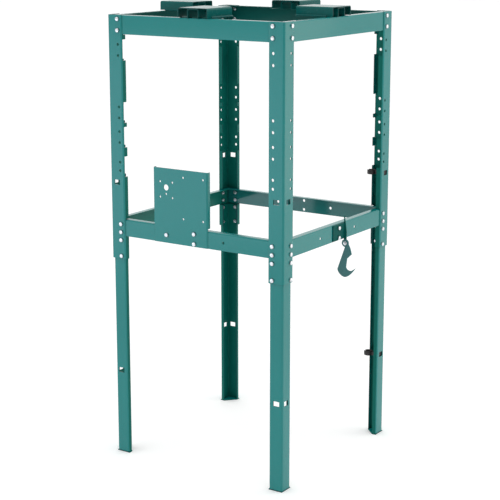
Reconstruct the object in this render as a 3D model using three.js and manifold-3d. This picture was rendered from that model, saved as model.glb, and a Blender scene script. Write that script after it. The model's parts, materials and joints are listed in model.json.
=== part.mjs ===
// Four-legged machine stand of bolt-together sheet steel, in millimetres, +Z up.
// The top and middle frames are four rails each, inside lipped-angle legs. Each leg is an upper
// half and a lower half nested into it. Four open brackets on the top frame carry the machine.
// A switch plate is on the front, a hook swings on the right side, and two cable clips are in
// the back right leg. Of the bolts that hold the legs, the lowest of each flange is here.
// The origin is on the floor, midway along each side of the overall outline.
import * as THREE from 'three';
import { mergeVertices } from 'three/addons/utils/BufferGeometryUtils.js';
import Module from 'manifold-3d';

const wasm = await Module();
wasm.setup();

// Driving dimensions.
const standWidth = 750;
const standHeight = 1650;
const fitGap = 0.3;
const half = standWidth / 2;
const holeSides = 12;
const overcut = 1;

const leg = {
  sheet: 4,
  bend: 3,
  upperFlange: 64,
  upperLip: 20,
  nestGap: 0.5,
  holeInset: 45,
  slotInset: 30,
  slotWidth: 25,
  slotHeight: 18,
  upperBottom: 757,
  lowerTop: 838,
};
leg.nest = leg.sheet + leg.nestGap;
leg.lowerFlange = leg.upperFlange - leg.sheet - leg.nestGap - leg.nest;
leg.lowerLip = leg.upperLip - leg.nest;

const foot = { sheet: 3, proud: 1 };

// Holes in each leg flange: a height, a pitch to the next hole down, and a count.
// The bolted ones are filled by the frame bolts and the open ones are spare.
const boltedHole = 9;
const openHole = 11;
const holeRows = [
  { top: 1635, pitch: 40, count: 2, diameter: boltedHole },
  { top: 1545, pitch: 40, count: 2, diameter: openHole },
  { top: 1320, pitch: 40, count: 2, diameter: openHole },
  { top: 1230, pitch: 40, count: 2, diameter: openHole },
  { top: 1118, pitch: 31, count: 2, diameter: openHole },
  { top: 888, pitch: 30, count: 2, diameter: boltedHole },
  { top: 828, pitch: 60, count: 2, diameter: boltedHole },
];
const lowerHoleRows = holeRows.slice(-1);
const lowestBolt = 768;
const notchHeight = 75;
const notchCentres = [1525, 1300, 1210, 1102];
const upperSlot = 1043;
const lowerSlot = 324;

const rail = { sheet: 3, bend: 3, flange: 25, endGap: 5 };
rail.inset = leg.sheet + fitGap;
const topRail = { ...rail, bottom: 1581, top: standHeight - 1, rows: holeRows.slice(0, 1) };
const middleRail = { ...rail, bottom: 844, top: 906, rows: holeRows.slice(5, 6) };
const railCentre = { heights: [890, 854], sideHeight: 873, sideOffset: 122, diameter: 11 };
const railClearance = 2;

const support = {
  sheet: 3,
  bend: 4,
  width: 126,
  length: 150,
  top: 1684,
  lip: 8,
  lipStart: 26,
  stiffenerWidth: 48,
  stiffenerInset: 2,
};
support.bottom = topRail.top + fitGap;

const plate = {
  sheet: 3,
  bend: 3,
  left: -180,
  right: 59,
  bottom: 844,
  top: 1116,
  returnDepth: 14,
  returnBottom: 915,
};
const plateBolts = [
  [-railCentre.sideOffset, railCentre.sideHeight],
  [0, railCentre.heights[0]],
  [0, railCentre.heights[1]],
];
// Round holes in the switch plate: across, up and diameter.
const plateHoles = [
  ...rectangle(-122.5, 1038, 54.5, 56, 7.5),
  [-123, 1046, 22],
  [-123, 1022.5, 7.5],
  ...rectangle(-4.5, 1013.5, 86.5, 149.5, 7.5),
  ...plateBolts.map(([x, z]) => [x, z, boltedHole]),
];

const bracket = {
  sheet: 3,
  bend: 2,
  near: -39,
  far: 44,
  bottom: 846,
  top: 904,
  earReach: 8.5,
  earTop: 928,
  taperStart: 870,
  lobe: 12,
};
// Pan-headed frame bolt and its nut.
const fastener = { shank: 4, head: 7.3, headHeight: 5.5, nut: 7.5, nutHeight: 5, tail: 3 };
const hook = {
  thickness: 4.5,
  eye: 14.5,
  bore: 5.2,
  pivotHeight: 828,
  pin: 5,
  head: 7.5,
  headHeight: 4,
};
hook.pivotX = half - rail.inset + fitGap + bracket.sheet + 6;

const clip = {
  height: 17,
  outer: 17,
  inner: 13,
  ringX: 320,
  ringY: 337,
  shank: 9,
  plugWidth: 23,
  plugHeight: 16,
  plugInset: 1,
  shoulder: 4,
  rim: 3,
  mouth: 7,
};

// The hook reaches further than the bolt heads on the other side, so the outline is off centre.
const hookTip = [44.6, -88.7];
const outlineRight = hook.pivotX + hookTip[0];
const outlineLeft = half + fitGap + fastener.headHeight;
const outlineShift = (outlineLeft - outlineRight) / 2;

const green = 0x2f7f78;
const enamel = { color: green, roughness: 0.3, metalness: 0.1 };
const zinc = { color: 0xc8ccd0, roughness: 0.3, metalness: 0.9 };
const blackPlastic = { color: 0x141517, roughness: 0.5, metalness: 0 };

// Four holes at the corners of a rectangle, as across, up and diameter.
function rectangle(x, z, width, height, diameter) {
  const corners = [[-1, -1], [1, -1], [1, 1], [-1, 1]];
  return corners.map(([i, j]) => [x + (i * width) / 2, z + (j * height) / 2, diameter]);
}

// ---- solids ----

function toSolid(geometry) {
  const bare = geometry.clone();
  bare.deleteAttribute('normal');
  bare.deleteAttribute('uv');
  const merged = mergeVertices(bare, 1e-4);
  const mesh = new wasm.Mesh({
    numProp: 3,
    vertProperties: new Float32Array(merged.attributes.position.array),
    triVerts: new Uint32Array(merged.index.array),
  });
  return new wasm.Manifold(mesh);
}

function toGeometry(solid) {
  const mesh = solid.getMesh();
  const geometry = new THREE.BufferGeometry();
  geometry.setAttribute('position', new THREE.BufferAttribute(mesh.vertProperties, 3));
  geometry.setIndex(new THREE.BufferAttribute(mesh.triVerts, 1));
  geometry.computeVertexNormals();
  return geometry;
}

// A box from its low corner to its high corner.
function box(low, high) {
  const size = high.map((value, i) => value - low[i]);
  const geometry = new THREE.BoxGeometry(...size);
  geometry.translate(...low.map((value, i) => value + size[i] / 2));
  return toSolid(geometry);
}

// A round bar along X, Y or Z, centred on a point.
function bar(axis, centre, radius, length, sides = holeSides) {
  const geometry = new THREE.CylinderGeometry(radius, radius, length, sides);
  if (axis === 'x') geometry.rotateZ(Math.PI / 2);
  if (axis === 'z') geometry.rotateX(Math.PI / 2);
  geometry.translate(...centre);
  return toSolid(geometry);
}

// A shape in the XY plane raised from one height to another.
function raise(shape, bottom, top, curveSegments = 6) {
  const options = { depth: top - bottom, bevelEnabled: false, curveSegments };
  const geometry = new THREE.ExtrudeGeometry(shape, options);
  geometry.translate(0, 0, bottom);
  return toSolid(geometry);
}

// A shape drawn across X and up Z, extruded along Y from near to far.
function sweepAlongY(shape, near, far, curveSegments = 6) {
  return raise(shape, -far, -near, curveSegments).rotate([90, 0, 0]);
}

function cutAll(solid, cutters) {
  return cutters.reduce((left, cutter) => left.subtract(cutter), solid);
}

// The outline of bent sheet: the middle of the sheet runs through the points, and each corner
// is an arc. The two faces lie half a sheet to each side.
function sheetShape(points, sheet, innerBend, steps = 3) {
  const path = points.map(([x, y]) => new THREE.Vector2(x, y));
  const radius = innerBend + sheet / 2;
  const middle = [];
  path.forEach((point, i) => {
    if (i === 0 || i === path.length - 1) {
      const other = i === 0 ? path[1] : path[i - 1];
      const along = i === 0 ? other.clone().sub(point) : point.clone().sub(other);
      along.normalize();
      middle.push({ at: point, normal: new THREE.Vector2(-along.y, along.x) });
      return;
    }
    const before = point.clone().sub(path[i - 1]).normalize();
    const after = path[i + 1].clone().sub(point).normalize();
    const turn = Math.sign(before.cross(after));
    const centre = point.clone().addScaledVector(before, -radius).addScaledVector(after, radius);
    for (let step = 0; step <= steps; step += 1) {
      const angle = (Math.PI / 2) * (step / steps);
      const outward = after.clone().multiplyScalar(-Math.cos(angle));
      outward.addScaledVector(before, Math.sin(angle));
      const at = centre.clone().addScaledVector(outward, radius);
      middle.push({ at, normal: outward.multiplyScalar(-turn) });
    }
  });
  const side = (sign) => middle.map(({ at, normal }) => (
    at.clone().addScaledVector(normal, (sign * sheet) / 2)
  ));
  return new THREE.Shape([...side(1), ...side(-1).reverse()]);
}

// ---- the group and its meshes ----

const stand = new THREE.Group();
stand.position.x = outlineShift;

function addPiece(name, solid, look, quarterTurns = 0) {
  const mesh = new THREE.Mesh(toGeometry(solid), new THREE.MeshStandardMaterial(look));
  mesh.name = name;
  mesh.rotation.z = (Math.PI / 2) * quarterTurns;
  stand.add(mesh);
  return mesh;
}

// ---- legs, drawn for the front right corner ----

// Lipped angle with its outer corner at x, y: one flange runs to -X and the other to +Y.
function lippedAngle(corner, flange, lip) {
  const skin = leg.sheet / 2;
  const outline = [
    [-flange + skin, lip],
    [-flange + skin, skin],
    [-skin, skin],
    [-skin, flange - skin],
    [-lip, flange - skin],
  ];
  const placed = outline.map(([x, y]) => [half - corner + x, -half + corner + y]);
  return sheetShape(placed, leg.sheet, leg.bend);
}

// One cutter through both flanges, at a height, for each of the two flanges.
function flangeCutters(height, makeFront, makeRight) {
  return [makeFront(height), makeRight(height)];
}

function holeCutters(rows) {
  const reach = leg.nest + leg.sheet + overcut;
  const length = 2 * reach;
  return rows.flatMap(({ top, pitch, count, diameter }) => {
    const heights = Array.from({ length: count }, (_, i) => top - i * pitch);
    return heights.flatMap((height) => flangeCutters(
      height,
      (z) => bar('y', [half - leg.holeInset, -half, z], diameter / 2, length),
      (z) => bar('x', [half, -half + leg.holeInset, z], diameter / 2, length),
    ));
  });
}

function slotCutters(height) {
  const reach = leg.nest + leg.sheet + overcut;
  const side = leg.slotWidth / 2;
  const low = height - leg.slotHeight / 2;
  const high = height + leg.slotHeight / 2;
  const x = half - leg.slotInset;
  const y = -half + leg.slotInset;
  return [
    box([x - side, -half - overcut, low], [x + side, -half + reach, high]),
    box([half - reach, y - side, low], [half + overcut, y + side, high]),
  ];
}

// Removes both lips between two heights and leaves the flat of the flanges.
function lipCutters(corner, flange, low, high) {
  const inside = corner + leg.sheet + fitGap;
  const end = corner + flange;
  const deep = corner + flange - leg.sheet - leg.bend - overcut;
  return [
    box([half - end - overcut, -half + inside, low], [half - deep, -half + end, high]),
    box([half - end, -half + deep, low], [half - inside, -half + end + overcut, high]),
  ];
}

function upperLeg() {
  const body = raise(lippedAngle(0, leg.upperFlange, leg.upperLip), leg.upperBottom, standHeight);
  const notches = notchCentres.map((z) => [z - notchHeight / 2, z + notchHeight / 2]);
  const railNotches = [
    [topRail.bottom - railClearance, standHeight + overcut],
    [middleRail.bottom - railClearance, middleRail.top + railClearance],
  ];
  return cutAll(body, [
    ...holeCutters(holeRows),
    ...slotCutters(upperSlot),
    ...[...notches, ...railNotches].flatMap(([low, high]) => (
      lipCutters(0, leg.upperFlange, low, high)
    )),
  ]);
}

function lowerLeg() {
  const outline = lippedAngle(leg.nest, leg.lowerFlange, leg.lowerLip);
  const body = raise(outline, foot.sheet + fitGap, leg.lowerTop);
  return cutAll(body, [...holeCutters(lowerHoleRows), ...slotCutters(lowerSlot)]);
}

// Flat plate under the lower leg, with its inner corner cut from lip to lip.
function footPlate() {
  const near = leg.nest - foot.proud;
  const far = leg.nest + leg.lowerFlange + foot.proud;
  const cut = leg.nest + leg.lowerLip + foot.proud;
  const outline = [[near, near], [far, near], [far, cut], [cut, far], [near, far]];
  const shape = new THREE.Shape(outline.map(([x, y]) => new THREE.Vector2(half - x, -half + y)));
  return raise(shape, 0, foot.sheet);
}

const corners = ['front_right', 'back_right', 'back_left', 'front_left'];
corners.forEach((corner, turns) => {
  addPiece(`${corner}_upper_leg`, upperLeg(), enamel, turns);
  addPiece(`${corner}_lower_leg`, lowerLeg(), enamel, turns);
  addPiece(`${corner}_foot_plate`, footPlate(), enamel, turns);
});

// ---- rails and support brackets, drawn for the front side ----

// Angle section: an upright web and a flange turned inward along its top. The ends are mitred.
function railBody({ sheet, bend, flange, inset, bottom, top, endGap }) {
  const skin = sheet / 2;
  const face = -half + inset;
  const outline = [
    [face + skin, bottom],
    [face + skin, top - skin],
    [face + flange, top - skin],
  ];
  const length = half - inset - endGap;
  const profile = sheetShape(outline, sheet, bend);
  const geometry = new THREE.ExtrudeGeometry(profile, {
    depth: 2 * length,
    bevelEnabled: false,
  });
  geometry.translate(0, 0, -length);
  // Drawn as Y across and Z up, extruded along X.
  geometry.applyMatrix4(new THREE.Matrix4().set(
    0, 0, 1, 0,
    1, 0, 0, 0,
    0, 1, 0, 0,
    0, 0, 0, 1,
  ));
  const wedge = new THREE.Shape([
    new THREE.Vector2(0, -fitGap),
    new THREE.Vector2(-standWidth, -standWidth - fitGap),
    new THREE.Vector2(standWidth, -standWidth - fitGap),
  ]);
  return toSolid(geometry).intersect(raise(wedge, bottom - overcut, top + overcut));
}

function railBoltCutters(dimensions) {
  const x = half - leg.holeInset;
  const y = -half + dimensions.inset;
  return dimensions.rows.flatMap(({ top, pitch, count, diameter }) => (
    Array.from({ length: count }, (_, i) => top - i * pitch).flatMap((z) => [
      bar('y', [x, y, z], diameter / 2, 4 * dimensions.sheet),
      bar('y', [-x, y, z], diameter / 2, 4 * dimensions.sheet),
    ])
  ));
}

function topRailSolid() {
  return cutAll(railBody(topRail), railBoltCutters(topRail));
}

function middleRailSolid() {
  const y = -half + middleRail.inset;
  const places = [
    ...railCentre.heights.map((z) => [0, z]),
    [-railCentre.sideOffset, railCentre.sideHeight],
    [railCentre.sideOffset, railCentre.sideHeight],
  ];
  const extra = places.map(([x, z]) => (
    bar('y', [x, y, z], railCentre.diameter / 2, 4 * middleRail.sheet)
  ));
  return cutAll(railBody(middleRail), [...railBoltCutters(middleRail), ...extra]);
}

// Inverted channel across the rail, with small feet turned out beyond the rail's flange.
function supportBracket() {
  const skin = support.sheet / 2;
  const wall = support.width / 2 - skin;
  const foot = support.width / 2 + support.lip;
  const outline = [
    [-foot, support.bottom + skin],
    [-wall, support.bottom + skin],
    [-wall, support.top - skin],
    [wall, support.top - skin],
    [wall, support.bottom + skin],
    [foot, support.bottom + skin],
  ];
  const profile = sheetShape(outline, support.sheet, support.bend);
  const body = sweepAlongY(profile, -half, -half + support.length);
  const low = support.bottom - overcut;
  const high = support.bottom + support.sheet + support.bend + overcut;
  const cutters = [-1, 1].map((side) => {
    const ends = [side * (support.width / 2), side * (foot + overcut)];
    return box(
      [Math.min(...ends), -half - overcut, low],
      [Math.max(...ends), -half + support.lipStart, high],
    );
  });
  return cutAll(body, cutters);
}

// Narrower inverted channel inside the bracket, which makes its two inner walls.
function supportStiffener() {
  const skin = support.sheet / 2;
  const wall = support.stiffenerWidth / 2 - skin;
  const top = support.top - support.sheet - fitGap - skin;
  const outline = [[-wall, support.bottom], [-wall, top], [wall, top], [wall, support.bottom]];
  const profile = sheetShape(outline, support.sheet, support.bend / 2);
  const inset = support.stiffenerInset;
  return sweepAlongY(profile, -half + inset, -half + support.length - inset);
}

const sides = ['front', 'right', 'back', 'left'];
sides.forEach((side, turns) => {
  addPiece(`${side}_top_rail`, topRailSolid(), enamel, turns);
  addPiece(`${side}_middle_rail`, middleRailSolid(), enamel, turns);
  addPiece(`${side}_support_bracket`, supportBracket(), enamel, turns);
  addPiece(`${side}_support_stiffener`, supportStiffener(), enamel, turns);
});

// ---- switch plate, on the front middle rail ----

function switchPlate() {
  const skin = plate.sheet / 2;
  const face = -half + middleRail.inset - fitGap - skin;
  const back = face + plate.returnDepth;
  const outline = [
    [plate.left + skin, back],
    [plate.left + skin, face],
    [plate.right - skin, face],
    [plate.right - skin, back],
  ];
  const body = raise(sheetShape(outline, plate.sheet, plate.bend), plate.bottom, plate.top);
  const behind = [plate.left - overcut, face + skin + fitGap, plate.bottom - overcut];
  const corner = [plate.right + overcut, back + overcut, plate.returnBottom];
  const holes = plateHoles.map(([x, z, diameter]) => (
    bar('y', [x, face, z], diameter / 2, 4 * plate.sheet, diameter > 12 ? 24 : holeSides)
  ));
  return cutAll(body, [box(behind, corner), ...holes]);
}

addPiece('switch_plate', switchPlate(), enamel);

// ---- hook and its bracket, on the right middle rail ----

const railFace = half - rail.inset;
const bracketFace = railFace + fitGap;
const earNear = bracket.far - bracket.sheet;
const hookFar = earNear - fitGap;
const hookNear = hookFar - hook.thickness;

// Angle bracket: a flange against the rail and an ear turned outward, which narrows to its top
// and has a lobe for the pin.
function hookBracket() {
  const skin = bracket.sheet / 2;
  const outline = [
    [bracketFace + skin, bracket.near],
    [bracketFace + skin, bracket.far - skin],
    [bracketFace + bracket.sheet + bracket.earReach, bracket.far - skin],
  ];
  const body = raise(
    sheetShape(outline, bracket.sheet, bracket.bend),
    hook.pivotHeight,
    bracket.earTop,
  );
  const low = [bracketFace - overcut, bracket.near - overcut, hook.pivotHeight - overcut];
  const below = box(low, [half + bracket.lobe, earNear, bracket.bottom]);
  const above = box(
    [bracketFace - overcut, bracket.near - overcut, bracket.top],
    [half + bracket.lobe, earNear, bracket.earTop + overcut],
  );
  const taper = new THREE.Shape([
    new THREE.Vector2(bracketFace + bracket.sheet, bracket.earTop + overcut),
    new THREE.Vector2(bracketFace + bracket.sheet + bracket.earReach, bracket.taperStart),
    new THREE.Vector2(half + bracket.lobe, bracket.taperStart),
    new THREE.Vector2(half + bracket.lobe, bracket.earTop + overcut),
  ]);
  const outside = sweepAlongY(taper, earNear - overcut, bracket.far + overcut);
  const middle = (earNear + bracket.far) / 2;
  const lobe = bar('y', [hook.pivotX, middle, hook.pivotHeight], bracket.lobe, bracket.sheet, 24);
  const pivot = [hook.pivotX, middle, hook.pivotHeight];
  const holes = railCentre.heights.map((z) => (
    bar('x', [bracketFace, 0, z], railCentre.diameter / 2, 4 * bracket.sheet)
  ));
  return cutAll(cutAll(body, [below, above, outside]).add(lobe), [
    bar('y', pivot, hook.bore, 4 * bracket.sheet),
    ...holes,
  ]);
}

// Flat hook about its pivot: the shank leans in, and the tip turns up on the outer side.
function hookPlate() {
  const shape = new THREE.Shape();
  shape.moveTo(-1, -hook.eye);
  shape.lineTo(-31, -99);
  shape.bezierCurveTo(-32, -112, -14, -127, -1.5, -127.4);
  shape.bezierCurveTo(12, -127.4, 26, -115, hookTip[0], hookTip[1]);
  shape.lineTo(30, -99);
  shape.bezierCurveTo(20, -106, 5, -98, 4.8, -88);
  shape.lineTo(8.8, -57);
  shape.lineTo(27.6, -39);
  shape.lineTo(21.1, -17);
  shape.lineTo(hook.eye, -4);
  const start = Math.atan2(-4, hook.eye);
  shape.absarc(0, 0, hook.eye, start, 1.5 * Math.PI - 0.07, false);
  const plateSolid = sweepAlongY(shape, hookNear, hookFar);
  const centre = [0, (hookNear + hookFar) / 2, 0];
  const bore = bar('y', centre, hook.bore, 4 * hook.thickness, 24);
  return plateSolid.subtract(bore).translate([hook.pivotX, 0, hook.pivotHeight]);
}

const headSides = 16;

// A shank from one point to another and a round head beyond the first.
function bolt(axis, head, shankEnd, dimensions) {
  const along = axis === 'x' ? 0 : 1;
  const direction = Math.sign(head[along] - shankEnd[along]);
  const length = Math.abs(head[along] - shankEnd[along]);
  const shankCentre = head.map((value, i) => (value + shankEnd[i]) / 2);
  const headCentre = [...head];
  headCentre[along] += (direction * dimensions.headHeight) / 2;
  return bar(axis, shankCentre, dimensions.shank, length)
    .add(bar(axis, headCentre, dimensions.head, dimensions.headHeight, headSides));
}

function ringNut(axis, centre, outer, bore, thickness) {
  return bar(axis, centre, outer, thickness, 6).subtract(bar(axis, centre, bore, 2 * thickness));
}

// Pin through the hook and the ear, with a head at each end.
function pivotRivet() {
  const { pin, head, headHeight, pivotX, pivotHeight } = hook;
  const near = [pivotX, hookNear - fitGap, pivotHeight];
  const far = [pivotX, bracket.far + fitGap + headHeight / 2, pivotHeight];
  const dimensions = { shank: pin, head, headHeight };
  return bolt('y', near, far, dimensions).add(bar('y', far, head, headHeight, headSides));
}

addPiece('hook_bracket', hookBracket(), enamel);
addPiece('hook', hookPlate(), enamel);
addPiece('hook_pivot_rivet', pivotRivet(), zinc);

// ---- bolts and nuts ----

// A bolt along an axis from the outer face of a joint, and its nut against the inner face.
function addFastener(names, axis, outerFace, innerFace, quarterTurns = 0) {
  const along = axis === 'x' ? 0 : 1;
  const outward = Math.sign(outerFace[along] - innerFace[along]);
  const head = [...outerFace];
  const end = [...innerFace];
  const nutCentre = [...innerFace];
  head[along] += outward * fitGap;
  end[along] -= outward * (fitGap + fastener.nutHeight + fastener.tail);
  nutCentre[along] -= outward * (fitGap + fastener.nutHeight / 2);
  const bore = fastener.shank + fitGap;
  const nut = ringNut(axis, nutCentre, fastener.nut, bore, fastener.nutHeight);
  addPiece(names[0], bolt(axis, head, end, fastener), zinc, quarterTurns);
  addPiece(names[1], nut, zinc, quarterTurns);
}

railCentre.heights.forEach((z, i) => {
  const place = ['upper', 'lower'][i];
  const names = [`bracket_bolt_${place}`, `bracket_nut_${place}`];
  const outerFace = [bracketFace + bracket.sheet, 0, z];
  addFastener(names, 'x', outerFace, [railFace - rail.sheet, 0, z]);
});

plateBolts.forEach(([x, z], i) => {
  const place = ['side', 'upper', 'lower'][i];
  const names = [`plate_bolt_${place}`, `plate_nut_${place}`];
  const outerFace = [x, -railFace - fitGap - plate.sheet, z];
  addFastener(names, 'y', outerFace, [x, -railFace + rail.sheet, z]);
});

// The lowest bolt on each flange joins the upper leg to the lower leg.
const legFaces = [['front', 'right'], ['right', 'back'], ['back', 'left'], ['left', 'front']];
corners.forEach((corner, turns) => {
  const nested = half - leg.nest - leg.sheet;
  const across = half - leg.holeInset;
  const [first, second] = legFaces[turns].map((face) => (
    [`${corner}_leg_bolt_${face}`, `${corner}_leg_nut_${face}`]
  ));
  addFastener(first, 'y', [across, -half, lowestBolt], [across, -nested, lowestBolt], turns);
  addFastener(second, 'x', [half, -across, lowestBolt], [nested, -across, lowestBolt], turns);
});

// ---- cable clips, in the side slots of the back right leg ----

// A plug in the slot, a collar inside the flange, a shank, and an upright ring with a mouth.
function cableClip(slotHeight, legFace) {
  const y = half - leg.slotInset;
  const inside = legFace - leg.sheet - fitGap;
  const collarHalf = clip.plugWidth / 2 + clip.rim;
  const collarTall = clip.plugHeight / 2 + clip.rim;
  const plug = box(
    [inside - overcut, y - clip.plugWidth / 2, slotHeight - clip.plugHeight / 2],
    [legFace - clip.plugInset, y + clip.plugWidth / 2, slotHeight + clip.plugHeight / 2],
  );
  const collar = box(
    [inside - clip.shoulder, y - collarHalf, slotHeight - collarTall],
    [inside, y + collarHalf, slotHeight + collarTall],
  );
  const shank = box(
    [clip.ringX + (clip.inner + clip.outer) / 2, clip.ringY - clip.shank / 2,
      slotHeight - clip.height / 2],
    [inside - overcut, clip.ringY + clip.shank / 2, slotHeight + clip.height / 2],
  );
  const centre = [clip.ringX, clip.ringY, slotHeight];
  const ring = bar('z', centre, clip.outer, clip.height, 28)
    .subtract(bar('z', centre, clip.inner, 2 * clip.height, 28));
  const mouth = box(
    [clip.ringX - clip.outer - overcut, clip.ringY - clip.mouth / 2, slotHeight - clip.height],
    [clip.ringX, clip.ringY + clip.mouth / 2, slotHeight + clip.height],
  );
  return ring.subtract(mouth).add(shank).add(collar).add(plug);
}

addPiece('cable_clip_upper', cableClip(upperSlot, half), blackPlastic);
addPiece('cable_clip_lower', cableClip(lowerSlot, half - leg.nest), blackPlastic);

export default stand;
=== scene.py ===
import json
import math

import bmesh
import bpy
import numpy as np
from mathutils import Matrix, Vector
from mathutils.geometry import tessellate_polygon


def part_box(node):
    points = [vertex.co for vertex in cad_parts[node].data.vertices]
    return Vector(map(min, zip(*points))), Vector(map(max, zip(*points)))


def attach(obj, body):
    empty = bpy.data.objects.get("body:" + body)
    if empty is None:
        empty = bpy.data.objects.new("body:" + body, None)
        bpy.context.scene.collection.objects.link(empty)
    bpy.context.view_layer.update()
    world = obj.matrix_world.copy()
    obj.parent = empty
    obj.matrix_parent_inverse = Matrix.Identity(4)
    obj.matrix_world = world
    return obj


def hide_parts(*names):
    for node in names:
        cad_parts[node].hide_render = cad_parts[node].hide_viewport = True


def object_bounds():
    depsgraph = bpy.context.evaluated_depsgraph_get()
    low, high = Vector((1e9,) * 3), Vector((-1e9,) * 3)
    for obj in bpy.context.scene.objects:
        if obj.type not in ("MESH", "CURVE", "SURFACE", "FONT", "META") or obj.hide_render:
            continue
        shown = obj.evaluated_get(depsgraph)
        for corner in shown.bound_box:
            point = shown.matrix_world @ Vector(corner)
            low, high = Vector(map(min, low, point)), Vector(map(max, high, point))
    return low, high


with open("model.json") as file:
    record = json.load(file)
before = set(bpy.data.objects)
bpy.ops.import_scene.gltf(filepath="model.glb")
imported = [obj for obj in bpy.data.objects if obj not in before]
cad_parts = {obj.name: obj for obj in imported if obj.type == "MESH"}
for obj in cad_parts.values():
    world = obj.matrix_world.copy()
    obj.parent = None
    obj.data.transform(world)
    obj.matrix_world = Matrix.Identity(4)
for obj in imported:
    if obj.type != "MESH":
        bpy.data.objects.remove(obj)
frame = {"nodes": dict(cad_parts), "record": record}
cadLow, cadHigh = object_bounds()
record = frame["record"]
bodyOf = {node: body for body, nodes in record["behaviour"]["bodies"].items() for node in nodes}
slotOf = {part["node"]: part["material_slot"] for part in record["subparts"]}
print("loaded", len(bodyOf), "nodes of the stand")


cameraSetup = {
    "place": (2.806, -4.249, 1.959),
    "turn": 33.76,  # degrees round from looking along +Y
    "tilt": 11.98,  # degrees down
    "lens": 99.8,
    "sensorWidth": 36,
    "shiftY": -0.06,
    "farthest": 100,
}


def newObject(name, data):
    made = bpy.data.objects.new(name, data)
    bpy.context.scene.collection.objects.link(made)
    return made


def makeCamera(setup):
    data = bpy.data.cameras.new("studioCamera")
    data.lens = setup["lens"]
    data.sensor_width = setup["sensorWidth"]
    data.shift_y = setup["shiftY"]
    data.clip_end = setup["farthest"]
    camera = newObject("studioCamera", data)
    camera.location = setup["place"]
    camera.rotation_euler = (math.radians(90 - setup["tilt"]), 0, math.radians(setup["turn"]))
    bpy.context.scene.camera = camera


makeCamera(cameraSetup)
bpy.context.scene.view_settings.view_transform = "Standard"
print("camera placed")


def addNode(tree, kind, **values):
    node = tree.nodes.new(kind)
    for key, value in values.items():
        setattr(node, key, value)
    return node


# A maths node on sockets or numbers.
def maths(tree, operation, first, second=None, third=None, clamp=False):
    node = addNode(tree, "ShaderNodeMath", operation=operation, use_clamp=clamp)
    for i, value in enumerate((first, second, third)):
        if value is None:
            continue
        if isinstance(value, bpy.types.NodeSocket):
            tree.links.new(value, node.inputs[i])
        else:
            node.inputs[i].default_value = value
    return node.outputs[0]


# A mix of two colours or sockets by a factor. A mix node's colour pair is its sockets 6 and 7.
def mixColour(tree, factor, first, second):
    node = addNode(tree, "ShaderNodeMix", data_type="RGBA")
    pairs = ((node.inputs[0], factor), (node.inputs[6], first), (node.inputs[7], second))
    for socket, value in pairs:
        if isinstance(value, bpy.types.NodeSocket):
            tree.links.new(value, socket)
        elif socket == node.inputs[0]:
            socket.default_value = value
        else:
            socket.default_value = (*value[:3], 1)
    return node.outputs[2]


# A smooth step from 0 to 1 between two values.
def smoothStep(tree, value, low, high):
    node = addNode(tree, "ShaderNodeMapRange", interpolation_type="SMOOTHSTEP")
    tree.links.new(value, node.inputs[0])
    node.inputs[1].default_value = low
    node.inputs[2].default_value = high
    return node.outputs[0]


def noise(tree, place, scale, detail=3.0, roughness=0.5):
    node = addNode(tree, "ShaderNodeTexNoise")
    tree.links.new(place, node.inputs["Vector"])
    node.inputs["Scale"].default_value = scale
    node.inputs["Detail"].default_value = detail
    node.inputs["Roughness"].default_value = roughness
    return node.outputs["Fac"]


def objectPlace(tree):
    return addNode(tree, "ShaderNodeTexCoord").outputs["Object"]


def addBump(tree, shader, height, strength, distance):
    bump = addNode(tree, "ShaderNodeBump")
    bump.inputs["Strength"].default_value = strength
    bump.inputs["Distance"].default_value = distance
    tree.links.new(height, bump.inputs["Height"])
    tree.links.new(bump.outputs[0], shader.inputs["Normal"])


# From where to where each effect of the groups below sets in.
effectRange = {
    "wearPatch": (0.35, 0.7),
    "wearTurn": (0.02, 0.22),
    "upwardFace": (0.5, 0.9),
    "seamOpenness": (0.25, 0.95),
}
filmNoise = {
    "slowScale": 2.4,
    "slowShare": 0.7,
    "fineScale": 46.0,
    "fineRoughness": 0.6,
    "peelDetail": 1.5,
}


def newGroup(name, inputs, outputs):
    group = bpy.data.node_groups.new(name, "ShaderNodeTree")
    for label, kind, value in inputs:
        socket = group.interface.new_socket(label, in_out="INPUT", socket_type="NodeSocket" + kind)
        if value is not None:
            socket.default_value = value
    for label, kind in outputs:
        group.interface.new_socket(label, in_out="OUTPUT", socket_type="NodeSocket" + kind)
    return group, group.nodes.new("NodeGroupInput"), group.nodes.new("NodeGroupOutput")


# Edge wear: where the rounded normal leaves the true one, broken up by noise, the mask rises to 1.
def makeEdgeWear():
    group, given, result = newGroup(
        "edgeWear",
        [("Width", "Float", 0.001), ("Amount", "Float", 0.5), ("Breakup", "Float", 90.0)],
        [("Mask", "Float")],
    )
    place = objectPlace(group)
    bevel = addNode(group, "ShaderNodeBevel", samples=4)
    group.links.new(given.outputs["Width"], bevel.inputs["Radius"])
    normal = addNode(group, "ShaderNodeNewGeometry").outputs["Normal"]
    dot = addNode(group, "ShaderNodeVectorMath", operation="DOT_PRODUCT")
    group.links.new(bevel.outputs[0], dot.inputs[0])
    group.links.new(normal, dot.inputs[1])
    turned = maths(group, "SUBTRACT", 1.0, dot.outputs["Value"], clamp=True)
    patch = addNode(group, "ShaderNodeTexNoise")
    group.links.new(place, patch.inputs["Vector"])
    group.links.new(given.outputs["Breakup"], patch.inputs["Scale"])
    broken = smoothStep(group, patch.outputs["Fac"], *effectRange["wearPatch"])
    edge = smoothStep(group, turned, *effectRange["wearTurn"])
    mask = maths(group, "MULTIPLY", edge, broken)
    mask = maths(group, "MULTIPLY", mask, given.outputs["Amount"], clamp=True)
    group.links.new(mask, result.inputs["Mask"])
    return group


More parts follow.
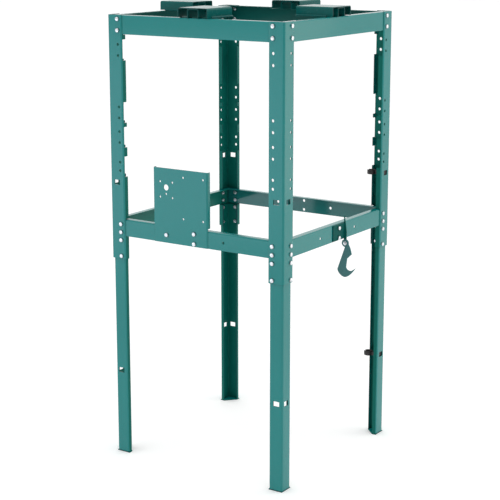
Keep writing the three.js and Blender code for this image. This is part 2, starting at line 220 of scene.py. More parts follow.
# Paint film: slow drift of tone, a fine mottle, and the height of its orange peel.
def makePaintFilm():
    group, given, result = newGroup(
        "paintFilm",
        [("Colour", "Color", (0.5, 0.5, 0.5, 1)), ("Drift", "Float", 0.1), ("Peel", "Float", 320.0)],
        [("Colour", "Color"), ("Height", "Float"), ("Sheen", "Float")],
    )
    place = objectPlace(group)
    slow = noise(group, place, filmNoise["slowScale"], 2.0)
    fine = noise(group, place, filmNoise["fineScale"], 4.0, filmNoise["fineRoughness"])
    slowPart = maths(group, "MULTIPLY", slow, filmNoise["slowShare"])
    finePart = maths(group, "MULTIPLY", fine, 1 - filmNoise["slowShare"])
    both = maths(group, "ADD", slowPart, finePart)
    swing = maths(group, "MULTIPLY", maths(group, "SUBTRACT", both, 0.5), given.outputs["Drift"])
    factor = maths(group, "ADD", swing, 1.0)
    scaled = addNode(group, "ShaderNodeVectorMath", operation="SCALE")
    group.links.new(given.outputs["Colour"], scaled.inputs[0])
    group.links.new(factor, scaled.inputs["Scale"])
    group.links.new(scaled.outputs[0], result.inputs["Colour"])
    peel = addNode(group, "ShaderNodeTexNoise")
    group.links.new(place, peel.inputs["Vector"])
    group.links.new(given.outputs["Peel"], peel.inputs["Scale"])
    peel.inputs["Detail"].default_value = filmNoise["peelDetail"]
    group.links.new(peel.outputs["Fac"], result.inputs["Height"])
    group.links.new(fine, result.inputs["Sheen"])
    return group


# Lit side: 1 on faces that look up or out from the stand's upright axis, 0 on those that look in, which
# sets where the enamel gets its painted light and where its painted shade. It comes from the distance
# out along the face's own normal, over Reach.
def makeLitSideMask():
    group, given, result = newGroup(
        "litSideMask",
        [("Axis", "Float", 0.0), ("Reach", "Float", 0.1)],
        [("Outer", "Float")],
    )
    place = objectPlace(group)
    apart = addNode(group, "ShaderNodeSeparateXYZ")
    group.links.new(place, apart.inputs[0])
    away = addNode(group, "ShaderNodeCombineXYZ")
    sideways = maths(group, "SUBTRACT", apart.outputs["X"], given.outputs["Axis"])
    group.links.new(sideways, away.inputs["X"])
    group.links.new(apart.outputs["Y"], away.inputs["Y"])
    normal = addNode(group, "ShaderNodeTexCoord").outputs["Normal"]
    dot = addNode(group, "ShaderNodeVectorMath", operation="DOT_PRODUCT")
    group.links.new(away.outputs[0], dot.inputs[0])
    group.links.new(normal, dot.inputs[1])
    share = maths(group, "DIVIDE", dot.outputs["Value"], given.outputs["Reach"])
    outer = maths(group, "MULTIPLY_ADD", share, 0.5, 0.5, clamp=True)
    facing = addNode(group, "ShaderNodeSeparateXYZ")
    group.links.new(normal, facing.inputs[0])
    # Faces that look up count as lit: painted light on their tops.
    upward = smoothStep(group, facing.outputs["Z"], *effectRange["upwardFace"])
    group.links.new(maths(group, "MAXIMUM", outer, upward), result.inputs["Outer"])
    return group


# Seam shade: 1 in the last few millimetres before one sheet meets another, and 0 in the open.
def makeSeamShade():
    group, given, result = newGroup(
        "seamShade",
        [("Reach", "Float", 0.006), ("Amount", "Float", 0.8)],
        [("Mask", "Float")],
    )
    openness = addNode(group, "ShaderNodeAmbientOcclusion", samples=6)
    group.links.new(given.outputs["Reach"], openness.inputs["Distance"])
    clear = smoothStep(group, openness.outputs["AO"], *effectRange["seamOpenness"])
    closed = maths(group, "SUBTRACT", 1.0, clear)
    mask = maths(group, "MULTIPLY", closed, given.outputs["Amount"], clamp=True)
    group.links.new(mask, result.inputs["Mask"])
    return group


edgeWear = makeEdgeWear()
seamShade = makeSeamShade()
paintFilm = makePaintFilm()
litSideMask = makeLitSideMask()


def placeGroup(tree, group, **values):
    node = addNode(tree, "ShaderNodeGroup", node_tree=group)
    for label, value in values.items():
        socket = node.inputs[label]
        if isinstance(value, bpy.types.NodeSocket):
            tree.links.new(value, socket)
        else:
            socket.default_value = value
    return node


def newMaterial(name):
    material = bpy.data.materials.new(name)
    material.use_nodes = True
    tree = material.node_tree
    return material, tree, tree.nodes["Principled BSDF"]


# Every enamelled piece starts from these values.
enamelLook = {
    "outer": (0.0015, 0.203, 0.196),
    # the same paint darker: painted shade for faces that look in
    "inner": (0.0005, 0.122, 0.098),
    "litSideReach": 0.12,  # metres over which a face goes from inner to outer tone
    # painted shade on the sheet's cut faces
    "shadedCutFace": (0.0008, 0.060, 0.058),
    "worn": (0.16, 0.42, 0.38),
    "wear": 0.25,
    "wearDulling": 0.2,
    "edgeWidth": 0.0012,
    # painted shade where one sheet meets another
    "paintedSeamShade": (0.0004, 0.030, 0.030),
    "seamShadeReach": 0.006,
    "seamShadeAmount": 0.8,
    "drift": 0.22,
    "roughness": 0.20,
    "innerRoughness": 0.50,
    "sheenSwing": 0.06,
    "specular": 0.12,
    "coat": 0.6,
    "innerCoat": 0.0,
    "coatRoughness": 0.16,
    "peelHeight": 0.00004,
    "peelStrength": 0.5,
}


# What sets the other enamelled pieces apart: the hook is greyer and duller, its bracket and the
# supports are deeper, each piece has its own painted shade for the faces that look in, and the rails'
# insides have some of the outsides' gloss.
hookLook = {
    "outer": (0.035, 0.165, 0.175),
    "inner": (0.02, 0.12, 0.115),
    "roughness": 0.34,
    "specular": 0.4,
    "coat": 0.15,
}
bracketLook = {"outer": (0.0008, 0.085, 0.074), "roughness": 0.55, "specular": 0.08, "coat": 0.0}
supportLook = {
    "outer": (0.0002, 0.122, 0.114),
    "inner": (0.0001, 0.036, 0.030),
    "specular": 0.06,
    "coat": 0.35,
}
railLook = {"innerCoat": 0.2}
topRailLook = {
    "inner": (0.0001, 0.068, 0.058),
    "specular": 0.08,
    "innerCoat": 0.15,
    "coatRoughness": 0.1,
}
backRailLook = {"inner": (0.0002, 0.116, 0.110), "innerCoat": 0.9, "coatRoughness": 0.09}


# Gloss enamel: painted light and shade, with faces that look out or up in the lit tone, and the faces
# that look in, the cut faces and the seams between sheets darker as painted shade; a little thinner and
# lighter where an edge is worn.
def makeEnamel(name, changes):
    look = {**enamelLook, **changes}
    material, tree, shader = newMaterial(name)
    # Painted light and shade: the lit tone on faces that look out or up, the shaded one on faces that
    # look in.
    side = placeGroup(tree, litSideMask, Axis=standAxisX, Reach=look["litSideReach"])
    tone = mixColour(tree, side.outputs["Outer"], look["inner"], look["outer"])
    # Painted shade on the cut faces.
    cut = addNode(tree, "ShaderNodeAttribute", attribute_name="cutFace").outputs["Fac"]
    tone = mixColour(tree, cut, tone, look["shadedCutFace"])
    film = placeGroup(tree, paintFilm, Colour=tone, Drift=look["drift"])
    wear = placeGroup(tree, edgeWear, Width=look["edgeWidth"], Amount=look["wear"])
    colour = mixColour(tree, wear.outputs["Mask"], film.outputs["Colour"], look["worn"])
    # Painted shade in the seams between sheets.
    paintedSeamShade = placeGroup(tree, seamShade, Reach=look["seamShadeReach"], Amount=look["seamShadeAmount"])
    colour = mixColour(tree, paintedSeamShade.outputs["Mask"], colour, look["paintedSeamShade"])
    tree.links.new(colour, shader.inputs["Base Color"])
    gloss = look["roughness"] - look["innerRoughness"]
    dullest = look["innerRoughness"] - look["sheenSwing"] / 2
    rough = maths(tree, "MULTIPLY_ADD", side.outputs["Outer"], gloss, dullest)
    rough = maths(tree, "MULTIPLY_ADD", film.outputs["Sheen"], look["sheenSwing"], rough)
    rough = maths(tree, "MULTIPLY_ADD", wear.outputs["Mask"], look["wearDulling"], rough, clamp=True)
    tree.links.new(rough, shader.inputs["Roughness"])
    addBump(tree, shader, film.outputs["Height"], look["peelStrength"], look["peelHeight"])
    shader.inputs["Specular IOR Level"].default_value = look["specular"]
    gain = look["coat"] - look["innerCoat"]
    coat = maths(tree, "MULTIPLY_ADD", side.outputs["Outer"], gain, look["innerCoat"])
    tree.links.new(coat, shader.inputs["Coat Weight"])
    shader.inputs["Coat Roughness"].default_value = look["coatRoughness"]
    return material


zincLook = {
    "light": (0.86, 0.87, 0.90),
    "dark": (0.52, 0.54, 0.58),
    "worn": (0.34, 0.34, 0.35),
    "wear": 0.6,
    "wearWidth": 0.0006,
    "wearBreakup": 400.0,
    "cloudScale": 260.0,
    "cloudRange": (0.3, 0.7),
    "cloudGloss": 0.1,
    "roughness": 0.32,
    "grainScale": 1400.0,
    "grainHeight": 0.00005,
    "grainStrength": 0.4,
}


# Bright zinc plate: cloudy patches, a fine grain, and duller edges.
def makeZinc(name, look):
    material, tree, shader = newMaterial(name)
    place = objectPlace(tree)
    cloud = smoothStep(tree, noise(tree, place, look["cloudScale"], 4.0), *look["cloudRange"])
    tone = mixColour(tree, cloud, look["dark"], look["light"])
    wear = placeGroup(
        tree, edgeWear, Width=look["wearWidth"], Amount=look["wear"], Breakup=look["wearBreakup"]
    )
    colour = mixColour(tree, wear.outputs["Mask"], tone, look["worn"])
    tree.links.new(colour, shader.inputs["Base Color"])
    rough = maths(tree, "MULTIPLY_ADD", cloud, -look["cloudGloss"], look["roughness"])
    tree.links.new(rough, shader.inputs["Roughness"])
    grain = noise(tree, place, look["grainScale"], 2.0)
    addBump(tree, shader, grain, look["grainStrength"], look["grainHeight"])
    shader.inputs["Metallic"].default_value = 1.0
    return material


plasticLook = {
    "deep": (0.010, 0.007, 0.008),
    "scuffed": (0.045, 0.036, 0.038),
    "wear": 0.7,
    "wearWidth": 0.0012,
    "wearBreakup": 300.0,
    "cloudScale": 60.0,
    "cloudLift": 0.25,
    "cloudDulling": 0.2,
    "roughness": 0.4,
    "grainScale": 900.0,
    "grainHeight": 0.0001,
    "grainStrength": 0.6,
}


# Moulded black plastic: spark-eroded grain, cloudy sheen, pale scuffs on the rims.
def makePlastic(name, look):
    material, tree, shader = newMaterial(name)
    place = objectPlace(tree)
    cloud = noise(tree, place, look["cloudScale"], 4.0)
    wear = placeGroup(
        tree, edgeWear, Width=look["wearWidth"], Amount=look["wear"], Breakup=look["wearBreakup"]
    )
    lift = maths(tree, "MULTIPLY", cloud, look["cloudLift"])
    tone = mixColour(tree, lift, look["deep"], look["scuffed"])
    colour = mixColour(tree, wear.outputs["Mask"], tone, look["scuffed"])
    tree.links.new(colour, shader.inputs["Base Color"])
    rough = maths(tree, "MULTIPLY_ADD", cloud, look["cloudDulling"], look["roughness"])
    tree.links.new(rough, shader.inputs["Roughness"])
    grain = noise(tree, place, look["grainScale"], 2.0)
    addBump(tree, shader, grain, look["grainStrength"], look["grainHeight"])
    return material


legLow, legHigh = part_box("front_left_upper_leg")[0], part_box("front_right_upper_leg")[1]
standAxisX = (legLow.x + legHigh.x) / 2
enamel = makeEnamel("greenEnamel", {})
hookEnamel = makeEnamel("hookEnamel", hookLook)
# Enamel of a sheet piece, by how its name ends.
enamelFor = {
    "hook_bracket": makeEnamel("bracketEnamel", bracketLook),
    "back_middle_rail": makeEnamel("backRailEnamel", backRailLook),
    "middle_rail": makeEnamel("railEnamel", railLook),
    "top_rail": makeEnamel("topRailEnamel", topRailLook),
    "support_bracket": makeEnamel("supportEnamel", supportLook),
}
enamelFor["support_stiffener"] = enamelFor["support_bracket"]
materialFor = {
    "green_enamel": enamel,
    "zinc": makeZinc("zincPlate", zincLook),
    "black_plastic": makePlastic("blackPlastic", plasticLook),
}
print("materials made")


# Gives a mesh its finish, its shading and the CAD nodes that it stands for.
def addPiece(name, mesh, replaced, sharpAngle, material=None):
    slotName = slotOf[replaced[0]]
    mesh.materials.clear()
    mesh.materials.append(material or materialFor[slotName])
    mesh.shade_smooth()
    mesh.set_sharp_from_angle(angle=math.radians(sharpAngle))
    piece = newObject(name, mesh)
    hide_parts(*replaced)
    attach(piece, bodyOf[replaced[0]])
    return piece


sheetFinish = {
    "edgeRound": 0.0006,
    "segments": 2,
    "sharpAngle": 42,
    "cutWidth": 0.0045,  # widest that a cut face can be
    "cutAngle": 60,
    "flatAngle": 0.4,  # triangles that turn by less are one face
    "weld": 2e-5,
}


# Cut faces are as narrow as the sheet is thick and meet all their neighbours at a sharp angle.
def markCutFaces(work, finish):
    layer = work.faces.layers.float.new("cutFace")
    steep = math.radians(finish["cutAngle"])
    for face in work.faces:
        narrow = 2 * face.calc_area() / face.calc_perimeter() < finish["cutWidth"]
        sharp = all(edge.calc_face_angle(0) > steep for edge in face.edges)
        face[layer] = 1.0 if narrow and sharp else 0.0


# The node's own sheet, with its triangles joined into whole faces, its cut edges rounded and its
# bends smooth.
def finishSheet(node, finish):
    mesh = frame["nodes"][node].data.copy()
    mesh.name = node + "_sheet"
    flat = math.radians(finish["flatAngle"])
    work = bmesh.new()
    work.from_mesh(mesh)
    bmesh.ops.remove_doubles(work, verts=work.verts, dist=finish["weld"])
    bmesh.ops.dissolve_limit(work, angle_limit=flat, verts=work.verts, edges=work.edges)
    markCutFaces(work, finish)
    work.to_mesh(mesh)
    work.free()
    look = next((look for ending, look in enamelFor.items() if node.endswith(ending)), enamel)
    piece = addPiece(node + "_sheet", mesh, [node], finish["sharpAngle"], look)
    bevel = piece.modifiers.new("roundedEdges", "BEVEL")
    bevel.width = finish["edgeRound"]
    bevel.segments = finish["segments"]
    bevel.limit_method = "ANGLE"
    bevel.angle_limit = math.radians(finish["sharpAngle"])
    bevel.use_clamp_overlap = True
    weighted = piece.modifiers.new("evenShading", "WEIGHTED_NORMAL")
    weighted.keep_sharp = True


for node in sorted(bodyOf):
    if slotOf[node] == "green_enamel" and node != "hook":
        finishSheet(node, sheetFinish)
print("sheet pieces finished")


# Turns points and faces into a mesh with its seams welded and its faces pointing outwards.
def closedMesh(name, points, faces, weld=1e-6, sliver=1e-7):
    mesh = bpy.data.meshes.new(name)
    mesh.from_pydata(points.reshape(-1, 3).tolist(), [], faces)
    work = bmesh.new()
    work.from_mesh(mesh)
    bmesh.ops.remove_doubles(work, verts=work.verts, dist=weld)
    bmesh.ops.dissolve_degenerate(work, dist=sliver, edges=work.edges)
    bmesh.ops.recalc_face_normals(work, faces=work.faces)
    work.to_mesh(mesh)
    work.free()
    return mesh


# Four-cornered faces between neighbouring rows of a grid of point numbers. Each row closes on
# itself, and the rows run from end to end, or round to the first again where they wrap.
def gridFaces(index, wrapRows=False):
    here = index if wrapRows else index[:, :-1]
    beyond = np.roll(index, -1, axis=1) if wrapRows else index[:, 1:]
    corners = [here, np.roll(here, -1, axis=2), np.roll(beyond, -1, axis=2), beyond]
    return np.stack(corners, axis=-1).reshape(-1, 4).tolist()


# Copies of a grid of points as one closed mesh.
def gridMesh(name, points, wrapRows=False):
    index = np.arange(points[..., 0].size).reshape(points.shape[:3])
    return closedMesh(name, points, gridFaces(index, wrapRows))


boltShape = {
    "shank": 0.004,
    "head": 0.0073,
    "headHeight": 0.0055,
    "crown": 0.0006,  # rise of the top over its flat edge
    "edgeRound": 0.0011,
    "underChamfer": 0.0003,
    "pitch": 0.00125,
    "threadDepth": 0.00055,
    "threadLength": 0.010,
    "threadEnd": 0.7,  # depth of the last turn, as a share of the full one
    "tail": 0.003,
    "gap": 0.0003,  # room under the head and under the nut
    "sides": 20,
    "rowsPerTurn": 4,
}
nutShape = {
    "across": 0.013,
    "height": 0.005,
    "bore": 0.0041,
    "lead": 0.0006,  # countersink of the bore
    "face": 0.0061,  # radius of the circle that stays flat
    "fall": 0.58,  # how steeply the corners fall away beyond it
    "sides": 48,
}
fastenerSharpAngle = 28
outward = {"front": (0, -1, 0), "right": (1, 0, 0), "back": (0, 1, 0), "left": (-1, 0, 0)}
# Heights of the leg bolts, and how much sheet each one holds.
legBolting = {
    "railHeights": (1.635, 1.595, 0.888, 0.858),
    "railGrip": 0.0073,
    "legHeights": (0.828, 0.768),
    "legGrip": 0.0085,
}
# The side that the other bolts' heads are on, and how much sheet they hold.
otherBolting = {"plate": ("front", 0.0063), "bracket": ("right", 0.0063)}
legSides = {
    "front_right": ("front", "right"),
    "back_right": ("right", "back"),
    "back_left": ("back", "left"),
    "front_left": ("left", "front"),
}


# Under-head point of a CAD bolt, from its box and the way its head points.
def boltSeat(node, axis):
    low, high = (np.array(corner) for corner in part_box(node))
    along = np.abs(axis)
    headTop = np.where(np.array(axis) > 0, high, low) - np.array(axis) * boltShape["headHeight"]
    return (low + high) / 2 * (1 - along) + headTop * along


# Turns local points, whose third coordinate runs out along the bolt, to each seat and axis.
def seatPoints(local, seats, axes):
    axes = np.array(axes, float)
    up = np.tile((0.0, 0.0, 1.0), (len(axes), 1))
    frames = np.stack([up, np.cross(axes, up), axes], axis=1)
    return np.einsum("crkp,cpq->crkq", local, frames) + np.array(seats)[:, None, None, :]


# Half profile of a pan head as radius and height: a low crown, a rounded edge of a quarter
# turn, and an upright side with a small chamfer under it.
def headProfile(shape, steps=6):
    flat, chamfer = shape["head"] - shape["edgeRound"], shape["underChamfer"]
    across = np.linspace(0, 1, steps)
    turn = np.linspace(0, math.pi / 2, steps)[1:]
    shoulder = shape["headHeight"] - shape["crown"]
    top = shoulder + shape["crown"] * (1 - across**2)
    edge = shoulder - shape["edgeRound"] * (1 - np.cos(turn))
    under = [shape["head"], shape["head"] - chamfer]
    radius = np.concatenate([flat * across, flat + shape["edgeRound"] * np.sin(turn), under])
    return radius, np.concatenate([top, edge, [chamfer, 0]])


# Bolt: the head's half profile and a straight shank, turned about the axis. On its last part the
# radius dips by a triangle wave of height over pitch less turn, which is one helical thread.
def boltPoints(seats, axes, grips):
    shape = boltShape
    headRadius, headHeight = headProfile(shape)
    turn = np.linspace(0, 2 * math.pi, shape["sides"], endpoint=False)
    rows = int(shape["threadLength"] / shape["pitch"] * shape["rowsPerTurn"])
    lengths = np.array(grips) + 2 * shape["gap"] + nutShape["height"] + shape["tail"]
    fromEnd = np.append(0, np.linspace(shape["threadLength"], 0, rows))
    depth = np.where(np.arange(rows + 1) == 0, 0.0, lengths[:, None] - fromEnd)
    heads = np.tile(headHeight, (len(lengths), 1))
    height = np.concatenate([heads, -depth, -lengths[:, None]], axis=1)
    radius = np.concatenate([headRadius, np.full(rows + 1, shape["shank"]), [0.0]])
    plain, full = np.zeros(len(headRadius) + 1), np.ones(rows - 1)
    thread = np.concatenate([plain, full, [shape["threadEnd"], 0.0]])
    wave = np.abs(((height[:, :, None] / shape["pitch"] - turn / (2 * math.pi)) % 1) * 2 - 1)
    outer = radius[None, :, None] - thread[None, :, None] * wave * shape["threadDepth"]
    upright = np.broadcast_to(height[:, :, None], outer.shape)
    local = np.stack([outer * np.cos(turn), outer * np.sin(turn), upright], axis=-1)
    return seatPoints(local, seats, axes)


# Nut: a ring whose outside is the distance to a hexagon at each turn. Both faces fall away
# beyond a circle, in step with that distance, which gives the chamfered corners.
def nutPoints(seats, axes, grips):
    shape = nutShape
    turn = np.linspace(0, 2 * math.pi, shape["sides"], endpoint=False)
    sector = (turn + math.pi / 6) % (math.pi / 3) - math.pi / 6
    hexagon = shape["across"] / 2 / np.cos(sector)
    fall = (hexagon - shape["face"]) * shape["fall"]
    circle, lead = np.ones_like(turn), shape["lead"]
    bore, mouth = circle * shape["bore"], circle * (shape["bore"] + lead)
    face = circle * shape["face"]
    radius = np.stack([bore, mouth, face, hexagon, hexagon, face, mouth, bore])
    low, high = 0 * circle, circle * shape["height"]
    height = np.stack([low + lead, low, low, low + fall, high - fall, high, high, high - lead])
    local = np.stack([radius * np.cos(turn), radius * np.sin(turn), -height], axis=-1)
    local = np.tile(local, (len(grips), 1, 1, 1))
    start = np.array(grips) + 2 * boltShape["gap"]
    local[..., 2] -= start[:, None, None]
    return seatPoints(local, seats, axes)


# The bolts of one joint as one piece, and their nuts as another.
def addFasteners(name, seats, axes, grips, boltNodes):
    nutNodes = [node.replace("_bolt", "_nut") for node in boltNodes]
    bolts = gridMesh(name + "_bolts", boltPoints(seats, axes, grips))
    addPiece(name + "_bolts", bolts, boltNodes, fastenerSharpAngle)
    nuts = gridMesh(name + "_nuts", nutPoints(seats, axes, grips), wrapRows=True)
    addPiece(name + "_nuts", nuts, nutNodes, fastenerSharpAngle)


for leg, faces in legSides.items():
    seats, axes, grips = [], [], []
    for face in faces:
        seat = boltSeat(f"{leg}_leg_bolt_{face}", outward[face])
        for heights, grip in (("railHeights", "railGrip"), ("legHeights", "legGrip")):
            for boltHeight in legBolting[heights]:
                seats.append((seat[0], seat[1], boltHeight))
                axes.append(outward[face])
                grips.append(legBolting[grip])
    addFasteners(leg + "_leg", seats, axes, grips, [f"{leg}_leg_bolt_{face}" for face in faces])
for joint, (face, grip) in otherBolting.items():
    boltNodes = sorted(node for node in bodyOf if node.startswith(joint + "_bolt"))
    seats = [boltSeat(node, outward[face]) for node in boltNodes]
    addFasteners(joint, seats, [outward[face]] * len(seats), [grip] * len(seats), boltNodes)


rivetShape = {
    "head": 0.0075,
    "headHeight": 0.004,
    "crown": 0.002,
    "edgeRound": 0.0012,
    "underChamfer": 0.0003,
    "pin": 0.005,
    "sides": 32,
}


# Rivet: a crowned head at each end of a plain pin, as one profile turned about the axis.
def rivetPoints(shape):
    low, high = (np.array(corner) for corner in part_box("hook_pivot_rivet"))
    length = high[1] - low[1] - 2 * shape["headHeight"]
    headRadius, headHeight = headProfile(shape)
    radius = np.concatenate([headRadius, [shape["pin"]] * 2, headRadius[::-1]])
    height = np.concatenate([headHeight, [0, -length], -length - headHeight[::-1]])
    turn = np.linspace(0, 2 * math.pi, shape["sides"], endpoint=False)
    upright = np.tile(height[:, None], len(turn))
    local = np.stack([radius[:, None] * np.cos(turn), radius[:, None] * np.sin(turn), upright], axis=-1)
    middle = (low + high) / 2
    seat = (middle[0], low[1] + shape["headHeight"], middle[2])
    return seatPoints(local[None], [seat], [outward["front"]])


rivet = gridMesh("hook_rivet", rivetPoints(rivetShape))
addPiece("hook_rivet", rivet, ["hook_pivot_rivet"], fastenerSharpAngle)
print("bolts, nuts and rivet turned")


# Across and up from the pivot: lines and Bezier curves round the outline, in millimetres.
hookOutline = {
    "start": (-1, -14.5),
    "strokes": [
        [(-31, -99)],
        [(-32, -112), (-14, -127), (-1.5, -127.4)],
        [(12, -127.4), (26, -115), (44.6, -88.7)],
        [(30, -99)],
        [(20, -106), (5, -98), (4.8, -88)],
        [(8.8, -57)],
        [(27.6, -39)],
        [(21.1, -17)],
        [(14.5, -4)],
    ],
    "eye": 14.5,
    "eyeEnd": 0.07,  # radians before straight down at which the eye's arc ends
    "bore": 5.2,
    "edgeRound": 0.9,
    "boreEdgeRound": 0.4,
    "pivotInset": 44.6,  # from the tip back to the pivot
    "curveSteps": 24,
    "lineSteps": 6,
    "circleSteps": 40,
    "sharpAngle": 50,
}


# Points along the outline: each stroke is a Bezier curve of its own degree, and the eye an arc.
def hookRim(outline):
    here = np.array(outline["start"], float)
    parts = []
    for stroke in outline["strokes"]:
        held = np.array([here, *stroke], float)
        degree = len(stroke)
        steps = outline["curveSteps"] if degree > 1 else outline["lineSteps"]
        share = np.linspace(0, 1, steps, endpoint=False)[:, None]
        weights = [
            math.comb(degree, k) * share**k * (1 - share) ** (degree - k) for k in range(degree + 1)
        ]
        parts.append(sum(weight * point for weight, point in zip(weights, held)))
        here = held[-1]
    first = math.atan2(here[1], outline["eye"])
    last = 1.5 * math.pi - outline["eyeEnd"]
    turn = np.linspace(first, last, outline["circleSteps"], endpoint=False)
    parts.append(outline["eye"] * np.stack([np.cos(turn), np.sin(turn)], axis=1))
    return np.concatenate(parts)


# A flat plate's rounded rim: the outline moved in along its normals by one less the cosine of
# the turn, and across the thickness by its sine, from one face round to the other.
def roundedRim(rim, halfThickness, edgeRound, inward, steps=9):
    before, after = np.roll(rim, 1, axis=0), np.roll(rim, -1, axis=0)
    along = after - before
    along /= np.linalg.norm(along, axis=1)[:, None]
    normal = np.stack([-along[:, 1], along[:, 0]], axis=1) * inward
    turn = np.linspace(-math.pi / 2, math.pi / 2, steps)
    shift = edgeRound * (1 - np.cos(turn))
    across = edgeRound * np.sin(turn) + np.sign(turn.round(6)) * (halfThickness - edgeRound)
    flat = rim[None] + shift[:, None, None] * normal[None]
    thickness = np.broadcast_to(across[:, None], flat.shape[:2])
    return np.stack([flat[..., 0], thickness, flat[..., 1]], axis=-1)


# The plate: a rounded wall round the outline and another round the bore, in millimetres from the
# pivot, and both flat faces filled between the first rows of the walls and between the last.
def makeHook(outline):
    low, high = (np.array(corner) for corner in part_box("hook"))
    halfThickness = (high[1] - low[1]) / 2 * 1000
    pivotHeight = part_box("hook_pivot_rivet")[0].z + rivetShape["head"]
    pivot = np.array([high[0] - outline["pivotInset"] / 1000, (low[1] + high[1]) / 2, pivotHeight])
    turn = np.linspace(0, 2 * math.pi, outline["circleSteps"], endpoint=False)
    bore = outline["bore"] * np.stack([np.cos(turn), np.sin(turn)], axis=1)
    walls = [
        roundedRim(hookRim(outline), halfThickness, outline["edgeRound"], 1),
        roundedRim(bore, halfThickness, outline["boreEdgeRound"], -1),
    ]
    counts = [wall[..., 0].size for wall in walls]
    numbering = np.split(np.arange(sum(counts)), counts[:1])
    index = [numbers.reshape(wall.shape[:2]) for numbers, wall in zip(numbering, walls)]
    faces = [face for wall in index for face in gridFaces(wall[None])]
    for end in (0, -1):
        loops = [[Vector(point) for point in wall[end]] for wall in walls]
        rims = np.concatenate([wall[end] for wall in index]).tolist()
        faces += [[rims[i] for i in triangle] for triangle in tessellate_polygon(loops)]
    points = np.concatenate([wall.reshape(-1, 3) for wall in walls]) / 1000 + pivot
    plate = closedMesh("hook_plate", points, faces)
    addPiece("hook_plate", plate, ["hook"], outline["sharpAngle"], hookEnamel)


makeHook(hookOutline)
print("hook cut")


clipShape = {
    "ringOuter": 0.017,
    "ringInner": 0.0128,
    "height": 0.017,
    "mouth": 0.007,
    "shankWide": 0.009,
    "collarWide": 0.029,
    "collarTall": 0.022,
    "collarThick": 0.0038,
    "plugWide": 0.0226,
    "plugTall": 0.0156,
    "plugReach": 0.0006,
    "plugInset": 0.001,  # from the plug's end to the leg's outer face
    "sheetAndGap": 0.0043,
    "edgeSoft": 0.001,
    "overlap": 0.001,  # how far the parts run into each other
    "voxel": 0.0006,
    "softening": 0.5,
    "softeningPasses": 4,
    "sharpAngle": 180,  # so no edge stays sharp
}


# Joins meshes into the first one.
def joinMeshes(meshes):
    work = bmesh.new()
    for mesh in meshes:
        work.from_mesh(mesh)
    work.to_mesh(meshes[0])
    work.free()
    for mesh in meshes[1:]:
        bpy.data.meshes.remove(mesh)
    return meshes[0]


# Rounded rectangle as a superellipse: each coordinate is a power of the sine or cosine of the turn.
def roundedSection(halfWide, halfTall, power=0.3, count=40):
    turn = np.linspace(0, 2 * math.pi, count, endpoint=False)
    across = np.sign(np.cos(turn)) * np.abs(np.cos(turn)) ** power
    up = np.sign(np.sin(turn)) * np.abs(np.sin(turn)) ** power
    return halfWide * across, halfTall * up


# Block along X, with half its width and height given: the section at each station, drawn in at
# both ends by a quarter turn.
def blockPoints(start, end, centre, half, soft, steps=5):
    across, up = roundedSection(1.0, 1.0)
    turn = np.linspace(0, math.pi / 2, steps)
    along, drawnIn = soft * (1 - np.cos(turn)), soft * (1 - np.sin(turn))
    station = np.concatenate([[start], start + along, end - along[::-1], [end]])
    inset = np.concatenate([drawnIn, drawnIn[::-1]])
    wide = np.concatenate([[0], half[0] - inset, [0]])
    tall = np.concatenate([[0], half[1] - inset, [0]])
    x = np.broadcast_to(station[:, None], (len(station), len(across)))
    y = centre[0] + wide[:, None] * across
    return np.stack([x, y, centre[1] + tall[:, None] * up], axis=-1)[None]


# Ring with a mouth: the rounded section carried round the centre from one lip to the other.
def ringPoints(centre, shape, steps=72, power=0.5):
    middle = (shape["ringOuter"] + shape["ringInner"]) / 2
    halfThick = (shape["ringOuter"] - shape["ringInner"]) / 2
    gap = math.asin(shape["mouth"] / 2 / middle)
    turn = np.linspace(-math.pi + gap, math.pi - gap, steps)
    radial, up = roundedSection(halfThick, shape["height"] / 2, power)
    size = np.ones(len(turn) + 2)
    size[[0, -1]] = 0
    turn = np.concatenate([turn[:1], turn, turn[-1:]])
    reach = middle + size[:, None] * radial
    x = centre[0] + reach * np.cos(turn)[:, None]
    y = centre[1] + reach * np.sin(turn)[:, None]
    return np.stack([x, y, centre[2] + size[:, None] * up], axis=-1)[None]


# One clip: ring, shank, collar and plug overlap, and a voxel remesh moulds them into one body.
def makeClip(node, shape):
    low, high = (np.array(corner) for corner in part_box(node))
    soft, overlap = shape["edgeSoft"], shape["overlap"]
    z = (low[2] + high[2]) / 2
    ring = (low[0] + shape["ringOuter"], low[1] + shape["ringOuter"], z)
    slot = (high[1] - shape["collarWide"] / 2, z)
    legInside = high[0] + shape["plugInset"] - shape["sheetAndGap"]
    shank = (shape["shankWide"] / 2, shape["height"] / 2 - soft)
    collar = (shape["collarWide"] / 2, shape["collarTall"] / 2)
    plug = (shape["plugWide"] / 2, shape["plugTall"] / 2)
    shankStart = ring[0] + shape["ringInner"] + overlap
    plugEnd = legInside + shape["plugReach"]
    parts = [
        ringPoints(ring, shape),
        blockPoints(shankStart, legInside, ring[1:], shank, soft),
        blockPoints(legInside - shape["collarThick"], legInside, slot, collar, soft),
        blockPoints(legInside - overlap, plugEnd, slot, plug, shape["plugReach"]),
    ]
    mesh = joinMeshes([gridMesh(f"{node}_{i}", points) for i, points in enumerate(parts)])
    mesh.name = node + "_moulded"
    piece = addPiece(node + "_moulded", mesh, [node], shape["sharpAngle"])
    remesh = piece.modifiers.new("moulded", "REMESH")
    remesh.mode = "VOXEL"
    remesh.voxel_size = shape["voxel"]
    remesh.use_smooth_shade = True
    smooth = piece.modifiers.new("softened", "SMOOTH")
    smooth.factor = shape["softening"]
    smooth.iterations = shape["softeningPasses"]


for clipNode in ("cable_clip_upper", "cable_clip_lower"):
    makeClip(clipNode, clipShape)
print("clips moulded")


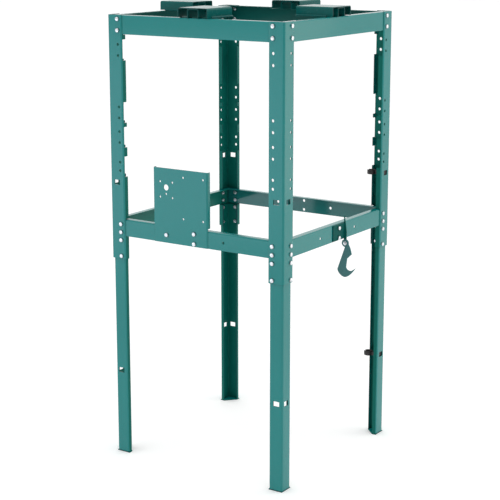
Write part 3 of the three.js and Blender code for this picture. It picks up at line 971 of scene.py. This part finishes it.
studio = {
    "floorTone": (0.94, 0.94, 0.94),
    "floorMottle": 1.03,
    "floorMottleScale": 1.5,
    "floorRoughness": 0.8,
    "floorGlow": 0.14,
    "floorReach": 30.0,
    "roomLight": 1.0,
    "frontDimming": 0.2,
    "frontRange": (0.55, 0.95),
    "panels": {
        "leftPanel": {
            "place": (-2.4, -3.4, 0.55),
            "size": (2.4, 1.5),
            "power": 12,
            "tint": (0.66, 0.83, 1.0),
        },
        "rightPanel": {
            "place": (3.2, 2.6, 1.6),
            "size": (2.4, 3.0),
            "power": 18,
            "tint": (0.93, 1.0, 0.84),
        },
        "topPanel": {
            "place": (0.4, -0.6, 4.2),
            "size": (3.0, 3.0),
            "power": 24,
            "tint": (1.0, 1.0, 1.0),
        },
    },
}
standMiddle = Vector((0, 0, (cadLow.z + cadHigh.z) / 2))


# A flat square of floor, level with the underside of the feet.
def makeFloor(setup):
    mesh = bpy.data.meshes.new("studioFloor")
    corners = np.array([(-1, -1, 0), (1, -1, 0), (1, 1, 0), (-1, 1, 0)], float) * setup["floorReach"]
    corners[:, 2] = cadLow.z
    mesh.from_pydata(corners.tolist(), [], [(0, 1, 2, 3)])
    material, tree, shader = newMaterial("paleFloor")
    mottle = noise(tree, objectPlace(tree), setup["floorMottleScale"])
    lighter = [part * setup["floorMottle"] for part in setup["floorTone"]]
    tree.links.new(mixColour(tree, mottle, setup["floorTone"], lighter), shader.inputs["Base Color"])
    shader.inputs["Roughness"].default_value = setup["floorRoughness"]
    shader.inputs["Emission Color"].default_value = (1, 1, 1, 1)
    shader.inputs["Emission Strength"].default_value = setup["floorGlow"]
    mesh.materials.append(material)
    newObject("studioFloor", mesh)


def makePanel(name, setup):
    light = bpy.data.lights.new(name, "AREA")
    light.shape = "RECTANGLE"
    light.size, light.size_y = setup["size"]
    light.energy = setup["power"]
    light.color = setup["tint"]
    panel = newObject(name, light)
    panel.location = setup["place"]
    panel.rotation_mode = "QUATERNION"
    panel.rotation_quaternion = (standMiddle - panel.location).to_track_quat("-Z", "Y")
    panel.visible_camera = False


# White room that is dimmer on the front side, as a studio is; the backdrop itself is white. A
# mix node's number pair is its sockets 2 and 3.
def makeRoom(setup):
    world = bpy.data.worlds.new("studioRoom")
    bpy.context.scene.world = world
    world.use_nodes = True
    tree = world.node_tree
    background = tree.nodes["Background"]
    direction = addNode(tree, "ShaderNodeTexCoord").outputs["Generated"]
    dot = addNode(tree, "ShaderNodeVectorMath", operation="DOT_PRODUCT")
    turn = math.radians(cameraSetup["turn"])
    tree.links.new(direction, dot.inputs[0])
    dot.inputs[1].default_value = (math.sin(turn), -math.cos(turn), 0.0)
    front = smoothStep(tree, dot.outputs["Value"], *setup["frontRange"])
    dimming = setup["frontDimming"] - setup["roomLight"]
    dimmed = maths(tree, "MULTIPLY_ADD", front, dimming, setup["roomLight"])
    seen = addNode(tree, "ShaderNodeLightPath").outputs["Is Camera Ray"]
    level = addNode(tree, "ShaderNodeMix", data_type="FLOAT")
    tree.links.new(seen, level.inputs[0])
    tree.links.new(dimmed, level.inputs[2])
    level.inputs[3].default_value = 1.0
    tree.links.new(level.outputs[0], background.inputs["Strength"])
    background.inputs["Color"].default_value = (1, 1, 1, 1)


makeFloor(studio)
for panelName, panelSetup in studio["panels"].items():
    makePanel(panelName, panelSetup)
makeRoom(studio)
print("room lit")
